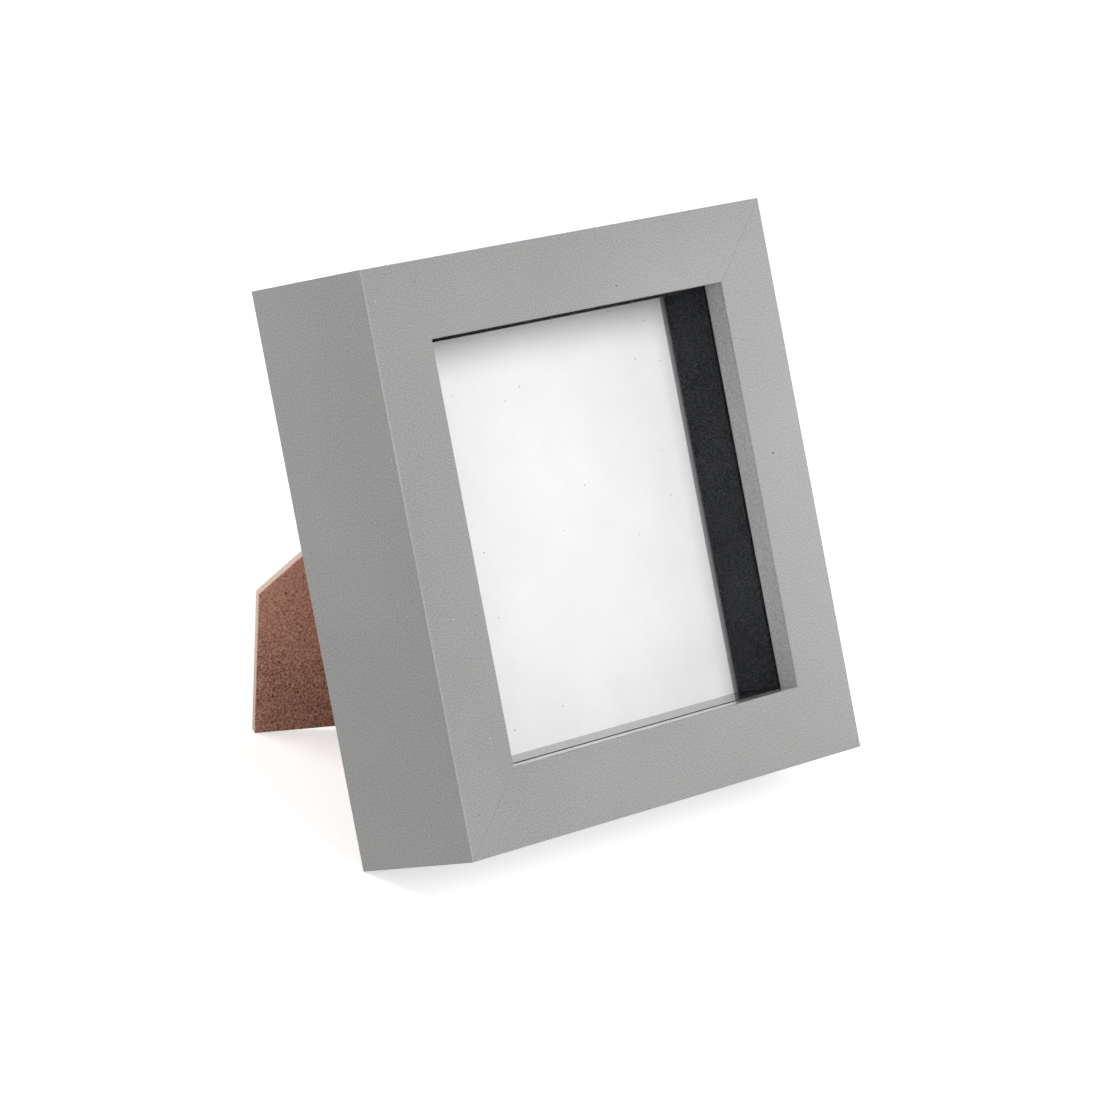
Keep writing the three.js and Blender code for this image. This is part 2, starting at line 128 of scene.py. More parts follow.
def blank(owner: Material | World) -> NodeTree:
    """Empty the node tree of a material or the world.

    Args:
        owner: The material or world.

    Returns:
        The tree.
    """
    owner.use_nodes = True
    owner.node_tree.nodes.clear()
    return owner.node_tree


def region(faces: list[BMFace]) -> list[BMFace | BMEdge | BMVert]:
    """Gather faces with what bounds them.

    Args:
        faces: The faces.

    Returns:
        The faces, their edges and their vertices, each of them once.
    """
    edges = dict.fromkeys(edge for face in faces for edge in face.edges)
    verts = dict.fromkeys(vert for face in faces for vert in face.verts)
    return [*faces, *edges, *verts]


def direction(azimuth: float, elevation: float) -> Vector:
    """Find the way from the object to a lamp or a camera.

    Args:
        azimuth: Degrees, 0 in front and positive to the right.
        elevation: Degrees over the floor.

    Returns:
        A vector of length 1.
    """
    across, up = math.radians(azimuth), math.radians(elevation)
    level = math.cos(up)
    return Vector((math.sin(across) * level, -math.cos(across) * level, math.sin(up)))


class Side(Enum):
    """Sides of the frame, as degrees of turn from the bottom one about the depth axis."""

    BOTTOM = 0
    LEFT = 90
    TOP = 180
    RIGHT = -90

    def node(self, kind: str) -> str:
        """Name of this side's CAD node of a kind."""
        return f"{kind}_{self.name.lower()}"


@dataclass(frozen=True)
class Axes:
    """Axes in millimetres, placed in the shared frame."""

    name: str
    matrix: Matrix

    @classmethod
    def along(cls, name: str, origin: Vector, across: Vector, depth: Vector) -> "Axes":
        """Set axes along two directions.

        Args:
            name: Word for these axes.
            origin: Place of the origin, in metres.
            across: Direction of x.
            depth: Direction of y.

        Returns:
            The axes, with z square to x and y.
        """
        turn = Matrix((across, depth, across.cross(depth))).transposed().to_4x4()
        return cls(name, Matrix.Translation(origin) @ turn @ Matrix.Scale(MM, 4))

    def turned(self, name: str, degrees: float, about: str) -> "Axes":
        """These axes turned about one of themselves."""
        return Axes(name, self.matrix @ Matrix.Rotation(math.radians(degrees), 4, about))

    def moved(self, name: str, origin: Vector) -> "Axes":
        """Axes with these directions and an origin given in metres."""
        return Axes(name, Matrix.Translation(origin - self.matrix.to_translation()) @ self.matrix)

    def span(self, *nodes: str) -> tuple[Vector, Vector]:
        """Measure CAD nodes in these axes.

        Args:
            nodes: Names of the nodes.

        Returns:
            The lowest and the highest corner, in millimetres.
        """
        inward = self.matrix.inverted()
        points = [inward @ vert.co for node in nodes for vert in frame["nodes"][node].data.vertices]
        low = Vector([min(point[i] for point in points) for i in range(3)])
        high = Vector([max(point[i] for point in points) for i in range(3)])
        return low, high


@dataclass(frozen=True)
class Finish:
    """A surface finish, with patterns sized in millimetres in the axes of the piece."""

    name: str

    def material(self, axes: Axes) -> Material:
        """Make the material.

        Args:
            axes: Axes that the patterns lie in.

        Returns:
            The material.
        """
        made = bpy.data.materials.new(f"{self.name}_{axes.name}")
        tree = blank(made)
        origin, turn, scale = axes.matrix.decompose()
        place = add(tree, "ShaderNodeTexCoord", {})
        inputs = {
            "Vector": place.outputs["Object"],
            "Location": origin,
            "Rotation": turn.to_euler(),
            "Scale": scale,
        }
        local = add(tree, "ShaderNodeMapping", inputs, vector_type="TEXTURE")
        add(tree, "ShaderNodeOutputMaterial", {"Surface": self.shader(tree, local.outputs[0])})
        return made

    def shader(self, tree: NodeTree, at: NodeSocket) -> NodeSocket:
        """Add the finish's own nodes, given the place on the piece in millimetres."""
        raise NotImplementedError


@dataclass(frozen=True)
class TexturedFinish(Finish):
    """A finish between two tones, whose roughness and relief follow a pattern."""

    dark: str = "000000"
    light: str = "ffffff"
    roughness: tuple[float, float] = (0.45, 0.55)
    relief: float = 0.01  # height of the pattern

    def surface(
        self, tree: NodeTree, pattern: NodeSocket, inputs: dict[str | int, object]
    ) -> NodeSocket:
        """Add a surface that is rough and raised as a pattern is.

        Args:
            tree: Node tree of the material.
            pattern: The pattern.
            inputs: What the other inputs of the surface hold.

        Returns:
            The shader.
        """
        (start, end), (low, high) = NOISE_SPAN, self.roughness
        span = {"Value": pattern, "From Min": start, "From Max": end, "To Min": low, "To Max": high}
        rough = add(tree, "ShaderNodeMapRange", span).outputs[0]
        bump = add(tree, "ShaderNodeBump", {"Height": pattern, "Distance": self.relief * MM})
        every = {**inputs, "Roughness": rough, "Normal": bump.outputs[0]}
        return add(tree, "ShaderNodeBsdfPrincipled", every).outputs[0]


@dataclass(frozen=True)
class Specks:
    """Scattered dots: their colour, width and spacing in millimetres."""

    colour: str
    width: float
    spacing: float
    stretch: tuple[float, float, float] = (1.0, 1.0, 1.0)  # length along x, y and z for its width
    core: float = 0.5  # part of the width that has the full colour


@dataclass(frozen=True)
class Fade:
    """A change of colour with depth, in millimetres along y."""

    colour: str
    start: float
    full: float


@dataclass(frozen=True)
class MottledFinish(TexturedFinish):
    """A surface with a fine grain, broad clouds and scattered specks."""

    grain: float = 0.5  # width of a grain
    stretch: tuple[float, float, float] = (1.0, 1.0, 1.0)  # grain's length along x, y and z
    cloud: float = 25.0  # width of a cloud
    cloud_share: float = 0.3  # of the change in tone
    softness: float = 0.2  # change in the pattern, either way, that takes it to a full tone
    ior: float = 1.5
    specks: tuple[Specks, ...] = ()
    fade: Fade | None = None

    def shader(self, tree: NodeTree, at: NodeSocket) -> NodeSocket:
        """Mix the grain and clouds between the two tones and lay the specks over them.

        Args:
            tree: Node tree of the material.
            at: Place on the piece, in millimetres.

        Returns:
            The shader.
        """
        across = [1 / (self.grain * length) for length in self.stretch]
        scaled = add(tree, "ShaderNodeVectorMath", {0: at, 1: across}, operation="MULTIPLY")
        inputs = {"Vector": scaled.outputs[0], "Scale": 1.0, "Detail": FINE, "Roughness": BITE}
        grain = add(tree, "ShaderNodeTexNoise", inputs).outputs[0]
        inputs = {"Vector": at, "Scale": 1 / self.cloud, "Detail": SMOOTH}
        cloud = add(tree, "ShaderNodeTexNoise", inputs).outputs[0]
        blend = add(tree, "ShaderNodeMix", {0: self.cloud_share, 2: grain, 3: cloud}).outputs[0]
        middle = sum(NOISE_SPAN) / 2
        low, high = middle - self.softness, middle + self.softness
        inputs = {"Value": blend, "From Min": low, "From Max": high}
        tone = add(tree, "ShaderNodeMapRange", inputs).outputs[0]
        inputs = {SHARE: tone, FIRST: linear(self.dark), SECOND: linear(self.light)}
        colour = add(tree, "ShaderNodeMix", inputs, data_type="RGBA").outputs[MIXED]
        for number, specks in enumerate(self.specks):
            shape = [1 / length for length in specks.stretch]
            inputs = {0: at, 1: shape, 2: [LAYER_SHIFT * number] * 3}
            moved = add(tree, "ShaderNodeVectorMath", inputs, operation="MULTIPLY_ADD")
            inputs = {"Vector": moved.outputs[0], "Scale": 1 / specks.spacing}
            cells = add(tree, "ShaderNodeTexVoronoi", inputs)
            rim = specks.width / 2 / specks.spacing
            core = rim * specks.core
            inputs = {"Value": cells.outputs["Distance"], "From Min": rim, "From Max": core}
            dot = add(tree, "ShaderNodeMapRange", inputs).outputs[0]
            inputs = {SHARE: dot, FIRST: colour, SECOND: linear(specks.colour)}
            colour = add(tree, "ShaderNodeMix", inputs, data_type="RGBA").outputs[MIXED]
        if self.fade:
            depth = add(tree, "ShaderNodeSeparateXYZ", {0: at}).outputs["Y"]
            inputs = {"Value": depth, "From Min": self.fade.start, "From Max": self.fade.full}
            share = add(tree, "ShaderNodeMapRange", inputs).outputs[0]
            inputs = {SHARE: share, FIRST: colour, SECOND: linear(self.fade.colour)}
            colour = add(tree, "ShaderNodeMix", inputs, data_type="RGBA").outputs[MIXED]
        return self.surface(tree, grain, {"Base Color": colour, "IOR": self.ior})


@dataclass(frozen=True)
class PlatedSteel(TexturedFinish):
    """Plated sheet or wire, with the plating's spangle and fine drawing lines."""

    roughness: tuple[float, float] = (0.25, 0.45)
    relief: float = 0.004  # height of the lines
    spangle: float = 1.6  # width of a crystal
    line: float = 0.12  # width of a drawing line
    line_length: float = 12.5  # for its width

    def shader(self, tree: NodeTree, at: NodeSocket) -> NodeSocket:
        """Tint the crystals one by one and roughen them with lines along x.

        Args:
            tree: Node tree of the material.
            at: Place on the piece, in millimetres.

        Returns:
            The shader.
        """
        cells = add(tree, "ShaderNodeTexVoronoi", {"Vector": at, "Scale": 1 / self.spangle})
        tint = cells.outputs["Color"]
        inputs = {SHARE: tint, FIRST: linear(self.dark), SECOND: linear(self.light)}
        colour = add(tree, "ShaderNodeMix", inputs, data_type="RGBA").outputs[MIXED]
        across = [1 / (self.line * self.line_length), 1 / self.line, 1 / self.line]
        scaled = add(tree, "ShaderNodeVectorMath", {0: at, 1: across}, operation="MULTIPLY")
        inputs = {"Vector": scaled.outputs[0], "Scale": 1.0, "Detail": SMOOTH}
        lines = add(tree, "ShaderNodeTexNoise", inputs).outputs[0]
        return self.surface(tree, lines, {"Base Color": colour, "Metallic": 1.0})


@dataclass(frozen=True)
class ClearPane(Finish):
    """A clear sheet that bends what is seen through it and lets the light straight through."""

    tint: str = "ffffff"
    ior: float = 1.5
    gloss_ior: float = 1.05  # for the share that is mirrored
    smear: float = 18.0  # width of a faint wipe mark
    smear_span: tuple[float, float] = (0.35, 0.7)  # of the pattern, from clean to smeared
    smear_roughness: float = 0.08

    def shader(self, tree: NodeTree, at: NodeSocket) -> NodeSocket:
        """Lay a gloss that grows at low angles over clear glass.

        Args:
            tree: Node tree of the material.
            at: Place on the piece, in millimetres.

        Returns:
            The shader.
        """
        inputs = {"Vector": at, "Scale": 1 / self.smear, "Detail": FINE}
        smear = add(tree, "ShaderNodeTexNoise", inputs).outputs[0]
        clean, full = self.smear_span
        inputs = {"Value": smear, "From Min": clean, "From Max": full, "To Max": self.smear_roughness}
        rough = add(tree, "ShaderNodeMapRange", inputs).outputs[0]
        inputs = {"Color": linear(self.tint), "Roughness": 0.0, "IOR": self.ior}
        bent = add(tree, "ShaderNodeBsdfRefraction", inputs).outputs[0]
        gloss = add(tree, "ShaderNodeBsdfGlossy", {"Roughness": rough}).outputs[0]
        share = add(tree, "ShaderNodeFresnel", {"IOR": self.gloss_ior}).outputs[0]
        glass = add(tree, "ShaderNodeMixShader", {0: share, 1: bent, 2: gloss}).outputs[0]
        clear = add(tree, "ShaderNodeBsdfTransparent", {"Color": linear(self.tint)}).outputs[0]
        path = add(tree, "ShaderNodeLightPath", {}).outputs
        inputs = {0: path["Is Shadow Ray"], 1: path["Is Diffuse Ray"]}
        lit = add(tree, "ShaderNodeMath", inputs, operation="MAXIMUM").outputs[0]
        return add(tree, "ShaderNodeMixShader", {0: lit, 1: glass, 2: clear}).outputs[0]


# Printed paper foil pressed on fibreboard: an even satin grey with a sand-fine grain, and a
# stray dark or pale fleck here and there.
SATIN_FOIL = MottledFinish(
    "satin_decor_foil",
    dark="7d7d7c",
    light="adadac",
    grain=0.35,
    cloud=40.0,
    cloud_share=0.1,
    softness=0.16,
    roughness=(0.2, 0.28),
    relief=0.006,
    specks=(
        Specks("4c4b4a", 0.4, 5.6),
        Specks("5c5b5a", 0.3, 6.5, stretch=(3.5, 1.0, 2.0)),
        Specks("d4d4d2", 0.35, 9.0),
    ),
)
# The same foil round the opening, where the wrapping rollers press it smooth, so that at a low angle it
# mirrors what is beside it. Its tones are a shade paler: a painted highlight for the light these flats
# catch.
LIP_FOIL_PAINTED_HIGHLIGHT = replace(
    SATIN_FOIL,
    name="pressed_decor_foil",
    dark="8d8d8c",
    light="c2c2c1",
    roughness=(0.03, 0.05),
    relief=0.0005,
)
# The same foil on the rounded corners, a thread of paler grey: a painted highlight along the edges.
CORNER_FOIL_PAINTED_HIGHLIGHT = MottledFinish(
    "rubbed_decor_foil",
    dark="868685",
    light="aeaead",
    grain=0.35,
    cloud=12.0,
    roughness=(0.3, 0.4),
    relief=0.006,
)
# Medium density fibreboard as it leaves the moulder: tan felt of short fibres.
RAW_FIBREBOARD = MottledFinish(
    "raw_fibreboard",
    dark="9c7c58",
    light="c0a27b",
    grain=0.4,
    cloud=9.0,
    softness=0.14,
    roughness=(0.75, 0.9),
    relief=0.05,
    specks=(Specks("6f5439", 0.5, 2.2),),
)
# Black paper wrapped on a strip, its pressed side out: charcoal with settled dust, and smooth
# enough to mirror the insert at a low angle.
BLACK_PAPER = MottledFinish(
    "black_wrap_paper",
    dark="040506",
    light="3a3c40",
    grain=0.3,
    cloud=16.0,
    cloud_share=0.1,
    softness=0.07,
    roughness=(0.04, 0.06),
    ior=1.35,
    relief=0.001,
    specks=(Specks("8e9092", 0.3, 4.6), Specks("76787a", 0.25, 2.6)),
)
# The same paper with its unpressed side out: an even charcoal with no sheen.
BLACK_PAPER_BACK = replace(BLACK_PAPER, name="black_wrap_paper_back", roughness=(0.7, 0.8), ior=1.25)
# Smooth uncoated card: white, with the paper's faint cloud and a few dark fibres.
WHITE_CARD = MottledFinish(
    "uncoated_white_card",
    dark="ececec",
    light="f4f4f5",
    grain=0.5,
    cloud=14.0,
    cloud_share=0.5,
    roughness=(0.8, 0.9),
    relief=0.006,
    specks=(Specks("8e8b89", 0.45, 5.0),),
)
# Hot-pressed wood fibre: red-brown and leathery, with dark bark flecks. Its clouds are broad and strong,
# to
# darken the leg where the box shades it: painted shade, over the board's own uneven tone.
LEG_HARDBOARD_PAINTED_SHADE = MottledFinish(
    "hardboard_face",
    dark="62392a",
    light="e5ad96",
    grain=0.4,
    cloud=88.0,
    cloud_share=0.38,
    softness=0.081,
    roughness=(0.55, 0.72),
    relief=0.02,
    specks=(Specks("2c1c16", 0.9, 4.0), Specks("54372d", 0.6, 1.8), Specks("dcb29c", 0.4, 2.4)),
)
# The same board for the back, with no painted shade: its clouds hardly show.
HARDBOARD_BACK = replace(LEG_HARDBOARD_PAINTED_SHADE, name="hardboard_back_face", cloud_share=0.12, softness=0.115)
# The same board where the saw has cut it: pale pinkish fibre ends in thin layers.
HARDBOARD_EDGE = MottledFinish(
    "hardboard_sawn_edge",
    dark="d8b8a8",
    light="f4ddd0",
    grain=0.3,
    stretch=(4.0, 1.0, 4.0),
    cloud=8.0,
    roughness=(0.8, 0.92),
    relief=0.05,
    specks=(Specks("8d6a5a", 0.4, 1.6),),
)
# Bright zinc on pressed steel: cool grey crystals with a soft shine.
ZINC_PLATE = PlatedSteel("zinc_plated_steel", dark="a9abab", light="c9cac8")
# Black oxide on a turned steel screw or pin: dark grey with a dull shine.
BLACKENED_STEEL = PlatedSteel(
    "blackened_steel",
    dark="5a5a58",
    light="767674",
    spangle=0.8,
    roughness=(0.35, 0.55),
)
# Thin float glass wiped clean: clear, with only a faint gloss.
FLOAT_GLASS = ClearPane("clear_float_glass")


@dataclass
class Piece:
    """A finished piece that stands for one CAD node, drawn in millimetres in its own axes."""

    node: str
    axes: Axes
    mesh: BMesh = field(default_factory=bmesh.new)

    @classmethod
    def from_cad(cls, node: str, axes: Axes) -> "Piece":
        """Start from a merged copy of the CAD node's mesh.

        Args:
            node: Name of the CAD node.
            axes: Axes to draw in.

        Returns:
            The piece, with each flat as one face.
        """
        piece = cls(node, axes)
        mesh = piece.mesh
        mesh.from_mesh(frame["nodes"][node].data)
        bmesh.ops.transform(mesh, matrix=axes.matrix.inverted(), verts=mesh.verts)
        bmesh.ops.remove_doubles(mesh, verts=mesh.verts, dist=MERGE)
        bmesh.ops.dissolve_limit(mesh, angle_limit=FLAT, verts=mesh.verts, edges=mesh.edges)
        mesh.normal_update()
        return piece

    def plate(self, outline: list[tuple[float, float]], front: float, rear: float) -> None:
        """Extrude an outline in x and z between two depths.

        Args:
            outline: Each corner's x and z.
            front: Where the plate starts along y.
            rear: Where it ends.
        """
        face = self.mesh.faces.new([self.mesh.verts.new((x, front, z)) for x, z in outline])
        grown = bmesh.ops.extrude_face_region(self.mesh, geom=[face])["geom"]
        verts = [item for item in grown if isinstance(item, BMVert)]
        bmesh.ops.translate(self.mesh, vec=(0, rear - front, 0), verts=verts)

    def roll(self, degrees: float, steps: int = 20) -> None:
        """Roll the faces that end at z = 0 round the x axis, as an eye is rolled from sheet.

        Args:
            degrees: Turn of the roll.
            steps: Faces round the roll.
        """
        ends = [face for face in self.mesh.faces if all(abs(vert.co.z) < MERGE for vert in face.verts)]
        turn = math.radians(degrees)
        bmesh.ops.spin(
            self.mesh, geom=region(ends), cent=(0, 0, 0), axis=(1, 0, 0), angle=turn, steps=steps
        )

    def lathe(
        self, profile: list[tuple[float, float]], dome: float, steps: int = 40, rings: int = 6
    ) -> None:
        """Turn a profile about the y axis, under a domed crown.

        Args:
            profile: Radius and depth of each point, from the rim under the dome to the far end.
            dome: Height of the crown over the rim.
            steps: Sides of the turned piece.
            rings: Rings of faces on the crown.
        """
        mesh = self.mesh
        rim, seat = profile[0]
        radius = (rim * rim + dome * dome) / (2 * dome)
        crown = mesh.verts.new((0, seat + dome, 0))
        arc = math.asin(rim / radius)
        centre = (0, seat + dome - radius, 0)
        bmesh.ops.spin(mesh, geom=[crown], cent=centre, axis=(0, 0, -1), angle=arc, steps=rings)
        last = max(mesh.verts, key=lambda vert: vert.co.x)
        for reach, depth in profile[1:]:
            following = mesh.verts.new((reach, depth, 0))
            mesh.edges.new((last, following))
            last = following
        bmesh.ops.spin(
            mesh,
            geom=[*mesh.verts, *mesh.edges],
            cent=(0, 0, 0),
            axis=(0, 1, 0),
            angle=2 * math.pi,
            steps=steps,
            use_merge=True,
        )
        bmesh.ops.remove_doubles(mesh, verts=mesh.verts, dist=MERGE)
        bmesh.ops.recalc_face_normals(mesh, faces=mesh.faces)

    def soften(self, radius: float, chosen: Callable[[BMEdge], bool], segments: int = 3) -> None:
        """Round the chosen edges.

        Args:
            radius: Radius of the rounding.
            chosen: Test of an edge.
            segments: Faces across the rounding.
        """
        edges = [edge for edge in self.mesh.edges if chosen(edge)]
        bmesh.ops.bevel(
            self.mesh,
            geom=edges,
            offset=radius,
            affect="EDGES",
            segments=segments,
            profile=0.5,
            material=-1,
            clamp_overlap=True,
        )

    def paint(self, number: int, chosen: Callable[[BMFace], bool]) -> None:
        """Give the chosen faces a material.

        Args:
            number: Place of the material among those of the piece.
            chosen: Test of a face.
        """
        self.mesh.normal_update()
        for face in self.mesh.faces:
            if chosen(face):
                face.material_index = number

    def place(self, *materials: Material) -> Object:
        """Put the piece in the shared frame in place of its node.

        Args:
            materials: Materials in the order of their numbers.

        Returns:
            The new object.
        """
        mesh = self.mesh
        bmesh.ops.recalc_face_normals(mesh, faces=mesh.faces)
        bmesh.ops.transform(mesh, matrix=self.axes.matrix, verts=mesh.verts)
        data = bpy.data.meshes.new(f"{self.node}_finished")
        mesh.to_mesh(data)
        mesh.free()
        if "custom_normal" in data.attributes:  # the faceted copy's own, which hide the rounding
            data.attributes.remove(data.attributes["custom_normal"])
        data.shade_smooth()
        data.set_sharp_from_angle(angle=CREASE)
        for material in materials:
            data.materials.append(material)
        made = bpy.data.objects.new(data.name, data)
        bpy.context.scene.collection.objects.link(made)
        even = made.modifiers.new("even_flats", "WEIGHTED_NORMAL")
        even.keep_sharp = True
        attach(made, frame["nodes"][self.node]["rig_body"])
        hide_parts(self.node)
        return made


def dress(node: str, material: Material) -> Object:
    """Give a CAD node that shows as it is a material.

    Args:
        node: Name of the CAD node.
        material: Its material.

    Returns:
        The node's object.
    """
    shown = frame["nodes"][node]
    shown.data.materials.clear()
    shown.data.materials.append(material)
    return shown


def is_crisp(edge: BMEdge) -> bool:
    """Whether an edge is an outside corner."""
    return len(edge.link_faces) == 2 and edge.is_convex and edge.calc_face_angle() > CREASE


def is_sawn(face: BMFace) -> bool:
    """Whether a face of a board is on its edge."""
    return abs(face.normal.y) < EDGE_ON


@dataclass
class WrappedFrame:
    """Four mitred rails of fibreboard wrapped in foil, with a nail sunk across each corner."""

    box: Axes
    corner_radius: float = 0.4
    turn_in: float = 2.0  # foil on the rear face
    shortest_edge: float = 15.0  # of those that run along a rail
    open_joint: float = 0.04  # glue line at the lower left and upper right corners
    tight_joint: float = 0.004  # glue line at the other two

    def rail(self, side: Side, materials: list[Material]) -> Object:
        """Build one rail, drawn as the bottom one.

        Args:
            side: Which side of the frame.
            materials: The foil, the corner foil with its painted highlight, the raw board and the lip
                foil with its painted highlight.

        Returns:
            The rail.
        """
        axes = self.box.turned(side.name.lower(), side.value, "Y")
        piece = Piece.from_cad(side.node("rail"), axes)
        low, high = axes.span(piece.node)
        pane, _ = axes.span("glass_pane")
        turn_in = low.z + self.turn_in

        def runs_along(edge: BMEdge) -> bool:
            """Tell a long outside corner.

            Args:
                edge: The edge.

            Returns:
                Whether it is one.
            """
            start, end = [vert.co for vert in edge.verts]
            run = abs(end.x - start.x)
            return run > max(self.shortest_edge, ALONG * (end - start).length) and is_crisp(edge)

        def is_corner(face: BMFace) -> bool:
            """Whether a face is part of a rounded corner in the foil, which takes a painted highlight."""
            across, depth, height = [abs(part) for part in face.normal]
            return across < TURNED and min(depth, height) > TURNED

        def is_raw(face: BMFace) -> bool:
            """Tell a face that the foil leaves bare.

            Args:
                face: The face.

            Returns:
                Whether it is one.
            """
            at = face.calc_center_median()
            cut = abs(face.normal.x) > TURNED
            inner = at.y > pane.y and at.z > turn_in and max(face.normal.y, face.normal.z) > TURNED
            slot = at.z > low.z + self.corner_radius and face.normal.z < -TURNED
            return cut or inner or slot

        def is_lip(face: BMFace) -> bool:
            """Whether a face is the flat that looks into the opening, before the pane."""
            return face.normal.z > ALONG and face.calc_center_median().y < pane.y

        set_back = -low.z - high.x
        for end in (-1, 1):
            shows = (end < 0) == (side in (Side.BOTTOM, Side.TOP))
            closes = set_back - (self.open_joint if shows else self.tight_joint) / math.sqrt(2)
            cut = [v for v in piece.mesh.verts if abs(end * v.co.x + v.co.z + set_back) < NEAR]
            bmesh.ops.translate(piece.mesh, vec=(end * closes, 0, 0), verts=cut)
        rear = [face for face in piece.mesh.faces if face.calc_center_median().y > high.y - MERGE]
        bmesh.ops.bisect_plane(
            piece.mesh, geom=region(rear), dist=MERGE, plane_co=(0, 0, turn_in), plane_no=(0, 0, 1)
        )
        piece.soften(self.corner_radius, runs_along, segments=4)
        # The rounded corners take the paler foil: a painted highlight.
        piece.paint(1, is_corner)
        piece.paint(2, is_raw)
        # The lip flats take the paler foil: a painted highlight.
        piece.paint(3, is_lip)
        return piece.place(*materials)

    def build(self) -> list[Object]:
        """Build the rails and dress the nails.

        Returns:
            The rails, then the nails.
        """
        finishes = (SATIN_FOIL, CORNER_FOIL_PAINTED_HIGHLIGHT, RAW_FIBREBOARD, LIP_FOIL_PAINTED_HIGHLIGHT)
        materials = [finish.material(self.box) for finish in finishes]
        zinc = ZINC_PLATE.material(self.box)
        made = [self.rail(side, materials) for side in Side]
        nails = [node for node in frame["nodes"] if node.startswith("corner_nail")]
        return made + [dress(node, zinc) for node in nails]


@dataclass
class TurnButtons:
    """Pressed steel turn buttons on the ledge, each under a pan head screw."""

    box: Axes
    rim_radius: float = 0.25
    dome: float = 0.7  # height of the screw head's crown
    head_height: float = 1.4
    shank: float = 1.1  # radius
    hole_reach: float = 1.7  # edges nearer the pivot are round the screw hole
    cross_length: float = 2.6
    cross_width: float = 0.6
    cross_depth: float = 0.7

    def button(self, side: Side, zinc: Material) -> Object:
        """Round a button's rim, which leaves the hole for its screw crisp.

        Args:
            side: Which side of the frame.
            zinc: Its material.

        Returns:
            The button.
        """
        piece = Piece.from_cad(side.node("turn_button"), self.pivot(side))

        def is_rim(edge: BMEdge) -> bool:
            """Whether an edge is on the outline."""
            return is_crisp(edge) and min(vert.co.xz.length for vert in edge.verts) > self.hole_reach

        piece.soften(self.rim_radius, is_rim)
        return piece.place(zinc)

    def screw(self, side: Side, steel: Material) -> Object:
        """Turn a pan head screw and press the cross into its crown.

        Args:
            side: Which side of the frame.
            steel: Its material.

        Returns:
            The screw.
        """
        pivot = self.pivot(side)
        piece = Piece(side.node("button_screw"), pivot)
        low, high = pivot.span(piece.node)
        mesh = piece.mesh
        seat = high.y - self.head_height
        profile = [(high.x, high.y - self.dome), (high.x, seat), (self.shank, seat)]
        piece.lathe([*profile, (self.shank, low.y + self.shank), (0, low.y)], self.dome)
        half, arm = self.cross_width / 2, self.cross_length / 2
        for normal in (Vector((1, 0, 0)), Vector((0, 0, 1))):
            for distance in (-arm, -half, half, arm):
                crown = [face for face in mesh.faces if face.calc_center_median().y > high.y - self.dome]
                bmesh.ops.bisect_plane(
                    mesh, geom=region(crown), dist=MERGE, plane_co=normal * distance, plane_no=normal
                )
        cross = []
        for face in mesh.faces:
            at = face.calc_center_median()
            short, long = sorted((abs(at.x), abs(at.z)))
            if at.y > high.y - self.dome and short < half and long < arm:
                cross.append(face)
        grown = bmesh.ops.extrude_face_region(mesh, geom=cross)["geom"]
        floor = [item for item in grown if isinstance(item, BMVert)]
        bmesh.ops.translate(mesh, vec=(0, -self.cross_depth, 0), verts=floor)
        return piece.place(steel)

    def pivot(self, side: Side) -> Axes:
        """Axes at the pivot of a side's button."""
        return self.box.moved("button", Vector(JOINTS[f"button_{side.name.lower()}_turn"]["pos_m"]))

    def build(self) -> list[Object]:
        """Build the buttons and their screws.

        Returns:
            The buttons, then the screws.
        """
        zinc = ZINC_PLATE.material(self.box)
        steel = BLACKENED_STEEL.material(self.box)
        made = [self.button(side, zinc) for side in Side]
        return made + [self.screw(side, steel) for side in Side]


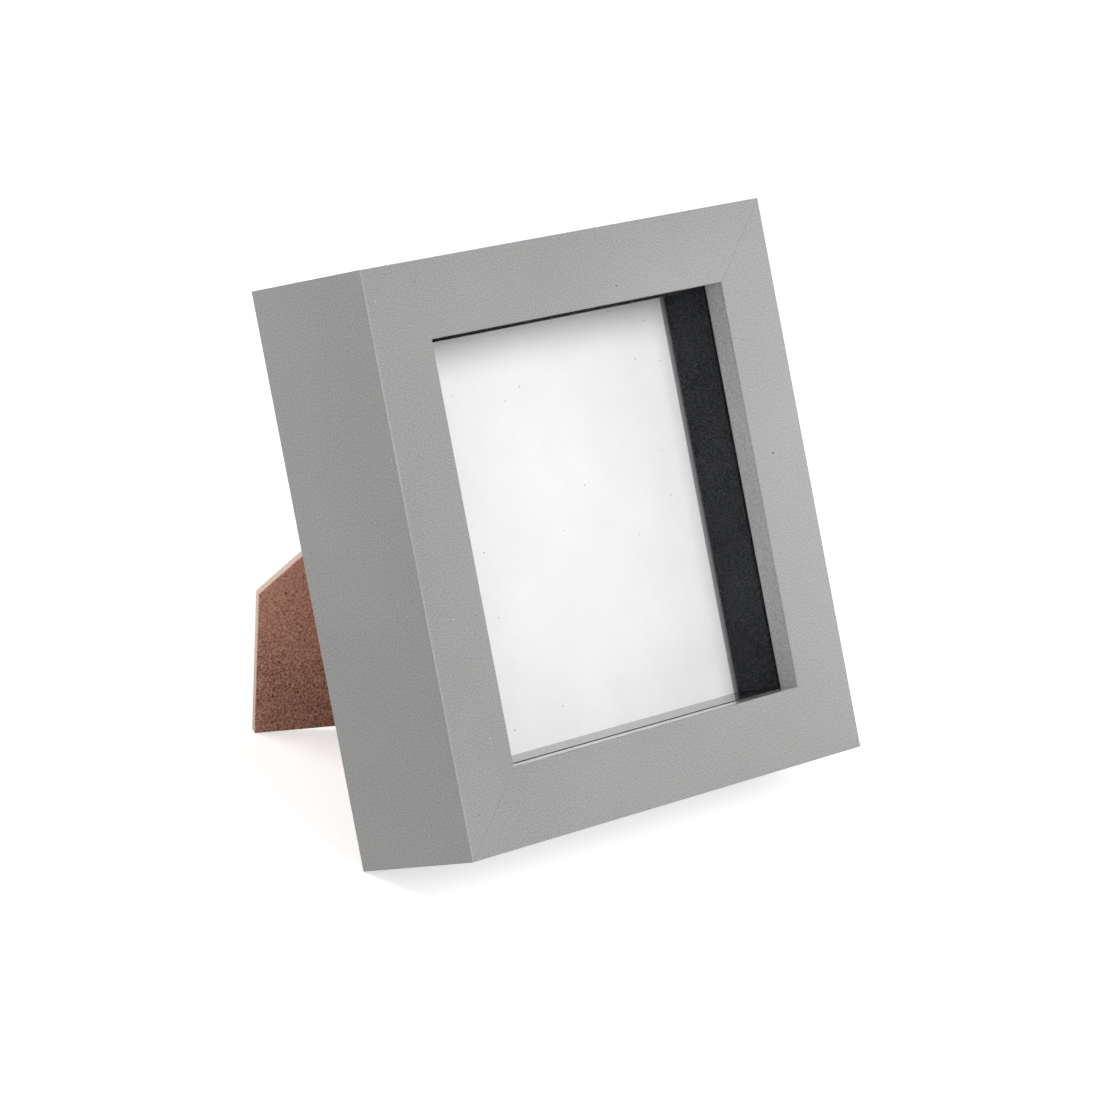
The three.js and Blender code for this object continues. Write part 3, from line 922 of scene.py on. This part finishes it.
@dataclass
class Layers:
    """What lies in the rebate: the pane, the spacer strips, the white insert and the back board."""

    box: Axes
    strip_radius: float = 0.1
    butted: float = 0.9  # of the gap at its ends that a side strip closes
    board_radius: float = 0.2
    board_band: float = 1.0  # width of the band along the board's outline
    bare_edge: tuple[float, float] = (1.7, 0.2)  # from the rear, where the painted light from the insert starts and where it is full
    bare_colour: str = "a2a2a4"

    def strip(self, side: Side, paper: Material) -> Object:
        """Build one spacer strip with its wrapped corners, a side one butted to its neighbours.

        Args:
            side: Which side of the frame.
            paper: Its material.

        Returns:
            The strip.
        """
        piece = Piece.from_cad(side.node("spacer"), self.box)
        if side in (Side.LEFT, Side.RIGHT):
            low, high = self.box.span(piece.node)
            _, under = self.box.span(Side.BOTTOM.node("spacer"))
            over, _ = self.box.span(Side.TOP.node("spacer"))
            for end, stop in ((low.z, under.z), (high.z, over.z)):
                verts = [vert for vert in piece.mesh.verts if abs(vert.co.z - end) < NEAR]
                bmesh.ops.translate(piece.mesh, vec=(0, 0, self.butted * (stop - end)), verts=verts)
        piece.soften(self.strip_radius, is_crisp)
        return piece.place(paper)

    def board(self) -> Object:
        """Build the back board, with its sawn edges pale.

        Returns:
            The board.
        """
        piece = Piece.from_cad("back_board", self.box)
        _, high = self.box.span(piece.node)
        border = high.x - self.board_band

        def is_border(edge: BMEdge) -> bool:
            """Whether an edge is on the board's outline."""
            far = min(max(abs(vert.co.x), abs(vert.co.z)) for vert in edge.verts) > border
            return far and is_crisp(edge)

        piece.soften(self.board_radius, is_border)
        piece.paint(1, is_sawn)
        return piece.place(HARDBOARD_BACK.material(self.box), HARDBOARD_EDGE.material(self.box))

    def build(self) -> list[Object]:
        """Build the strips and the board, and dress the pane and the insert.

        Returns:
            The layers from front to rear.
        """
        _, high = self.box.span(Side.RIGHT.node("spacer"))
        # The strips grow pale towards the rear, where they meet the insert: painted light bounced off the
        # white card.
        light_starts, light_full = [high.y - reach for reach in self.bare_edge]
        fade = Fade(self.bare_colour, light_starts, light_full)
        paper = replace(BLACK_PAPER, fade=fade).material(self.box)
        matt_paper = replace(BLACK_PAPER_BACK, fade=fade).material(self.box)
        made = [dress("glass_pane", FLOAT_GLASS.material(self.box))]
        made += [self.strip(side, paper if side is Side.BOTTOM else matt_paper) for side in Side]
        made.append(dress("insert_card", WHITE_CARD.material(self.box)))
        made.append(self.board())
        return made


@dataclass(frozen=True)
class Rivet:
    """The kind of rivet used at the rear, with a domed head and a flat end."""

    shank: float = 1.2  # radius
    dome: float = 0.8
    flat: float = 0.5

    def build(self, node: str, axes: Axes, zinc: Material) -> Object:
        """Turn a rivet.

        Args:
            node: Name of the CAD node.
            axes: Axes with y along the rivet.
            zinc: Its material.

        Returns:
            The rivet.
        """
        low, high = axes.span(node)
        centre = axes.matrix @ Vector(((low.x + high.x) / 2, 0, (low.z + high.z) / 2))
        piece = Piece(node, axes.moved("rivet", centre))
        low, high = piece.axes.span(node)
        seat = high.y - self.dome
        flat = low.y + self.flat
        profile = [(high.x, seat), (self.shank, seat), (self.shank, flat)]
        piece.lathe([*profile, (high.x, flat), (high.x, low.y), (0, low.y)], self.dome)
        return piece.place(zinc)


@dataclass
class Easel:
    """The folding leg, its hinge of two rolled leaves on a pin, and their rivets."""

    hinge: Axes
    leg: Axes
    rivet: Rivet = Rivet()
    leaf_corner: float = 4.0  # cut off each outer corner of a leaf
    notch: float = 2.6  # clears the other leaf's knuckle
    end_gap: float = 0.3  # between knuckles
    leaf_thick: float = 1.0
    roll_turn: float = 295.0  # degrees
    leaf_radius: float = 0.15
    pin_radius: float = 0.25
    leg_radius: float = 0.25
    shortest_edge: float = 1.0  # of those on the leg's outline

    def leaf(self, node: str, axes: Axes, way: int, zinc: Material) -> Object:
        """Build a leaf from sheet, with its tabs rolled to knuckles.

        Args:
            node: Name of the CAD node.
            axes: Axes with x along the pin.
            way: 1 where the leaf reaches up from the pin, and -1 where it reaches down.
            zinc: Its material.

        Returns:
            The leaf.
        """
        piece = Piece(node, axes)
        low, high = axes.span(node)
        half = high.x
        reach = high.z if way > 0 else low.z
        shoulder = reach - way * self.leaf_corner
        front = low.y if way > 0 else high.y - self.leaf_thick
        knuckle = self.knuckle_half() + (self.end_gap if way > 0 else 0)
        step = way * self.notch
        inner, outer = (step, 0.0) if way > 0 else (0.0, step)
        outline = [
            (-half, outer),
            (-knuckle, outer),
            (-knuckle, inner),
            (knuckle, inner),
            (knuckle, outer),
            (half, outer),
            (half, shoulder),
            (half - self.leaf_corner, reach),
            (self.leaf_corner - half, reach),
            (-half, shoulder),
        ]
        piece.plate(outline, front, front + self.leaf_thick)
        piece.roll(self.roll_turn)
        piece.soften(self.leaf_radius, is_crisp, segments=2)
        return piece.place(zinc)

    def knuckle_half(self) -> float:
        """Measure half the leg leaf's knuckle, on the CAD node's points above the pin.

        Returns:
            Half of its length.
        """
        inward = self.leg.matrix.inverted()
        points = [inward @ vert.co for vert in frame["nodes"]["hinge_leg_leaf"].data.vertices]
        return max(point.x for point in points if point.z > 0)

    def build(self) -> list[Object]:
        """Build the leg, the leaves, the pin and the rivets.

        Returns:
            The leaves, the pin, the leg and the rivets.
        """
        zinc = ZINC_PLATE.material(self.hinge)
        leg_zinc = ZINC_PLATE.material(self.leg)
        made = [
            self.leaf("hinge_board_leaf", self.hinge, 1, zinc),
            self.leaf("hinge_leg_leaf", self.leg, -1, leg_zinc),
        ]
        pin = Piece.from_cad("hinge_pin", self.hinge)
        pin.soften(self.pin_radius, is_crisp)
        made.append(pin.place(BLACKENED_STEEL.material(self.hinge)))
        leg = Piece.from_cad("strut_leg", self.leg)

        def is_outline(edge: BMEdge) -> bool:
            """Whether an edge is on the leg's outline, and not round a rivet."""
            start, end = [vert.co for vert in edge.verts]
            return is_crisp(edge) and (end - start).length > self.shortest_edge

        leg.soften(self.leg_radius, is_outline)
        leg.paint(1, is_sawn)
        # The leg's board darkens in broad clouds: painted shade from the box.
        made.append(leg.place(LEG_HARDBOARD_PAINTED_SHADE.material(self.leg), HARDBOARD_EDGE.material(self.leg)))
        for end in ("upper", "lower"):
            made.append(self.rivet.build(f"board_rivet_{end}", self.hinge, zinc))
            made.append(self.rivet.build(f"leg_rivet_{end}", self.leg, leg_zinc))
        return made


@dataclass
class WallHanger:
    """A plate with a rolled eye, its rivet, and a D ring of wire."""

    plate_axes: Axes
    ring_axes: Axes
    rivet: Rivet = Rivet()
    plate_thick: float = 0.8
    plate_corner: float = 1.6
    plate_radius: float = 0.12
    roll_turn: float = -285.0  # degrees
    wire: float = 0.7  # radius
    wire_sides: int = 16
    bend: float = 1.2  # radius of the ring's corners
    bend_steps: int = 8
    bow_steps: int = 32

    def plate(self, zinc: Material) -> Object:
        """Build the plate from sheet, with its upper edge rolled round the ring.

        Args:
            zinc: Its material.

        Returns:
            The plate.
        """
        piece = Piece("hanger_plate", self.plate_axes)
        low, high = self.plate_axes.span(piece.node)
        outline = [(low.x, low.z), (high.x, low.z), (high.x, 0), (low.x, 0)]
        piece.plate(outline, low.y, low.y + self.plate_thick)

        def is_lower_corner(edge: BMEdge) -> bool:
            """Whether an edge runs through the sheet at the plate's lower end."""
            start, end = [vert.co for vert in edge.verts]
            return abs(end.y - start.y) > self.plate_thick / 2 and start.z < low.z + self.plate_corner

        piece.soften(self.plate_corner, is_lower_corner, segments=6)
        piece.roll(self.roll_turn)
        piece.soften(self.plate_radius, is_crisp, segments=2)
        return piece.place(zinc)

    def ring(self, zinc: Material) -> Object:
        """Bend a wire to a D, with its straight side in the eye.

        Args:
            zinc: Its material.

        Returns:
            The ring.
        """
        piece = Piece("hanger_ring", self.ring_axes)
        mesh = piece.mesh
        _, high = self.ring_axes.span(piece.node)
        radius = high.x - self.wire
        straight = math.sqrt(radius * radius - 2 * radius * self.bend)
        dip = math.atan2(self.bend, straight)
        upright = Matrix.Translation((-straight, 0, 0)) @ Matrix.Rotation(math.pi / 2, 4, "Y")
        bmesh.ops.create_circle(mesh, segments=self.wire_sides, radius=self.wire, matrix=upright)
        grown = bmesh.ops.extrude_edge_only(mesh, edges=mesh.edges)["geom"]
        verts = [item for item in grown if isinstance(item, BMVert)]
        bmesh.ops.translate(mesh, vec=(2 * straight, 0, 0), verts=verts)
        bends = [
            ((straight, 0, -self.bend), math.pi / 2 + dip, self.bend_steps),
            ((0, 0, 0), math.pi - 2 * dip, self.bow_steps),
            ((-straight, 0, -self.bend), math.pi / 2 + dip, self.bend_steps),
        ]
        for centre, turn, steps in bends:
            loop = [item for item in grown if isinstance(item, (BMVert, BMEdge))]
            grown = bmesh.ops.spin(
                mesh, geom=loop, cent=centre, axis=(0, 1, 0), angle=turn, steps=steps
            )["geom_last"]
        bmesh.ops.remove_doubles(mesh, verts=mesh.verts, dist=NEAR)
        return piece.place(zinc)

    def build(self) -> list[Object]:
        """Build the plate, the ring and the rivet.

        Returns:
            The three pieces.
        """
        zinc = ZINC_PLATE.material(self.plate_axes)
        rivet = "hanger_rivet"
        return [self.plate(zinc), self.ring(zinc), self.rivet.build(rivet, self.plate_axes, zinc)]


class LightKind(Enum):
    """Kinds of soft light."""

    SUN = "SUN"  # even all over
    PANEL = "AREA"  # near, so it fades across the object


@dataclass(frozen=True)
class SoftLight:
    """A soft light that adds a given level to a surface that faces it."""

    name: str
    kind: LightKind
    azimuth: float  # degrees, 0 in front and positive to the right
    elevation: float
    level: float
    width: float  # degrees for a sun, metres for a panel
    distance: float = 0.4  # metres from the middle of the object
    aim_height: float = 0.07

    def build(self) -> None:
        """Make the lamp."""
        towards = direction(self.azimuth, self.elevation)
        lamp = bpy.data.lights.new(self.name, self.kind.value)
        if self.kind is LightKind.SUN:
            lamp.energy = self.level * math.pi
            lamp.angle = math.radians(self.width)
        else:
            lamp.energy = self.level * math.pi**2 * self.distance**2  # gives the level at the aim
            lamp.size = self.width
        made = bpy.data.objects.new(self.name, lamp)
        made.location = Vector((0, 0, self.aim_height)) + towards * self.distance
        made.rotation_euler = towards.to_track_quat("Z", "Y").to_euler()
        made.visible_camera = False
        bpy.context.scene.collection.objects.link(made)


@dataclass
class Studio:
    """A pale floor under soft light, with white all round."""

    floor_half: float = 6.0  # metres
    floor_tones: tuple[str, str] = ("d4d4d4", "dedede")
    floor_lift: float = 0.6  # brings the lit floor to white for the camera
    ambient: float = 0.2  # light from all round
    paper_grain: float = 2.0  # millimetres
    lights: tuple[SoftLight, ...] = (
        SoftLight("front_key", LightKind.SUN, azimuth=-4, elevation=38, level=0.62, width=34),
        SoftLight("camera_side", LightKind.SUN, azimuth=-50, elevation=22, level=0.19, width=40),
        SoftLight("rear_left", LightKind.PANEL, azimuth=-142, elevation=40, level=0.52, width=0.25),
        SoftLight(
            "right_fill", LightKind.PANEL, azimuth=60, elevation=14, level=0.12, width=0.15, distance=0.28
        ),
    )

    def seen(self, tree: NodeTree) -> NodeSocket:
        """Tell the rays that show the background.

        Args:
            tree: Node tree of the floor or the world.

        Returns:
            1 for such a ray, and 0 for one that only carries light.
        """
        path = add(tree, "ShaderNodeLightPath", {}).outputs
        inputs = {0: path["Is Camera Ray"], 1: path["Is Glossy Ray"]}
        either = add(tree, "ShaderNodeMath", inputs, operation="MAXIMUM").outputs[0]
        inputs = {0: either, 1: path["Is Transmission Ray"]}
        return add(tree, "ShaderNodeMath", inputs, operation="MAXIMUM").outputs[0]

    def world(self) -> None:
        """White for what is seen, and a plain level for what is lit."""
        made = bpy.data.worlds.new("studio_surround")
        tree = blank(made)
        inputs = {"Value": self.seen(tree), "To Min": self.ambient, "To Max": 1.0}
        level = add(tree, "ShaderNodeMapRange", inputs).outputs[0]
        shade = add(tree, "ShaderNodeBackground", {"Color": linear("ffffff"), "Strength": level})
        add(tree, "ShaderNodeOutputWorld", {"Surface": shade.outputs[0]})
        bpy.context.scene.world = made

    def floor(self) -> None:
        """A matt floor that keeps the shadow."""
        mesh = bmesh.new()
        bmesh.ops.create_grid(mesh, x_segments=1, y_segments=1, size=self.floor_half)
        data = bpy.data.meshes.new("studio_floor")
        mesh.to_mesh(data)
        mesh.free()
        material = bpy.data.materials.new("matt_paper_floor")
        tree = blank(material)
        place = add(tree, "ShaderNodeTexCoord", {})
        inputs = {"Vector": place.outputs["Object"], "Scale": 1 / (self.paper_grain * MM)}
        grain = add(tree, "ShaderNodeTexNoise", inputs).outputs[0]
        dark, light = [linear(tone) for tone in self.floor_tones]
        inputs = {SHARE: grain, FIRST: dark, SECOND: light}
        colour = add(tree, "ShaderNodeMix", inputs, data_type="RGBA").outputs[MIXED]
        matt = add(tree, "ShaderNodeBsdfDiffuse", {"Color": colour}).outputs[0]
        inputs = {"Value": self.seen(tree), "To Max": self.floor_lift}
        lift = add(tree, "ShaderNodeMapRange", inputs).outputs[0]
        glow = add(tree, "ShaderNodeEmission", {"Strength": lift}).outputs[0]
        both = add(tree, "ShaderNodeAddShader", {0: matt, 1: glow}).outputs[0]
        add(tree, "ShaderNodeOutputMaterial", {"Surface": both})
        data.materials.append(material)
        made = bpy.data.objects.new(data.name, data)
        bpy.context.scene.collection.objects.link(made)

    def build(self) -> None:
        """Set up the surround, the floor and the lights."""
        self.world()
        self.floor()
        for light in self.lights:
            light.build()
        bpy.context.scene.view_settings.view_transform = "Standard"


@dataclass(frozen=True)
class PhotoCamera:
    """A camera at the photograph's viewing angle, with the photograph's tilt."""

    aim: tuple[float, float, float] = (-24.571, 0.0, -3.272)  # in the axes of the box
    distance: float = 1.19642  # metres
    azimuth: float = -49.43276
    elevation: float = 20.99116
    roll: float = 9.046943
    lens: float = 173.432
    sensor: float = 36.0  # width

    def build(self, box: Axes) -> None:
        """Make the camera and set it as the scene's.

        Args:
            box: Axes of the leaning box.
        """
        back = direction(self.azimuth, self.elevation)
        data = bpy.data.cameras.new("photo_camera")
        data.lens = self.lens
        data.sensor_width = self.sensor
        made = bpy.data.objects.new(data.name, data)
        place = Matrix.Translation(box.matrix @ Vector(self.aim) + back * self.distance)
        turn = (-back).to_track_quat("-Z", "Y").to_matrix().to_4x4()
        made.matrix_world = place @ turn @ Matrix.Rotation(math.radians(self.roll), 4, "Z")
        bpy.context.scene.collection.objects.link(made)
        bpy.context.scene.camera = made


def box_axes() -> Axes:
    """Find the axes of the leaning box.

    Returns:
        The axes, with the origin at the centre of the front face.
    """
    mount = next(mount for mount in frame["record"]["mounts"] if mount["name"] == "wall_face")
    leaning = Axes.along("box", Vector(), Vector((1, 0, 0)), Vector(mount["axis"]))
    low, high = leaning.span(*[side.node("rail") for side in Side])
    middle = (low + high) / 2
    return leaning.moved("box", leaning.matrix @ Vector((middle.x, low.y, middle.z)))


def main() -> None:
    """Build the sub-assemblies, the studio and the camera, and log each piece with its body."""
    logging.basicConfig(level=logging.INFO, format="%(message)s")
    box = box_axes()
    depth = box.matrix.col[1].xyz.normalized()
    fold = JOINTS["leg_fold"]
    hinge = Axes.along("hinge", Vector(fold["pos_m"]), Vector(fold["axis"]), depth)
    leg = hinge.turned("leg", -fold["range_deg"][0], "X")
    swing = Vector(JOINTS["ring_swing"]["pos_m"])
    plumb = Axes.along("ring", swing, Vector((1, 0, 0)), Vector((0, 1, 0)))
    parts = [
        WrappedFrame(box),
        TurnButtons(box),
        Layers(box),
        Easel(hinge, leg),
        WallHanger(box.moved("hanger", swing), plumb),
    ]
    for part in parts:
        for piece in part.build():
            LOG.info("%s: %s on %s", type(part).__name__, piece.name, piece["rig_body"])
    Studio().build()
    PhotoCamera().build(box)


if __name__ == "__main__":
    main()
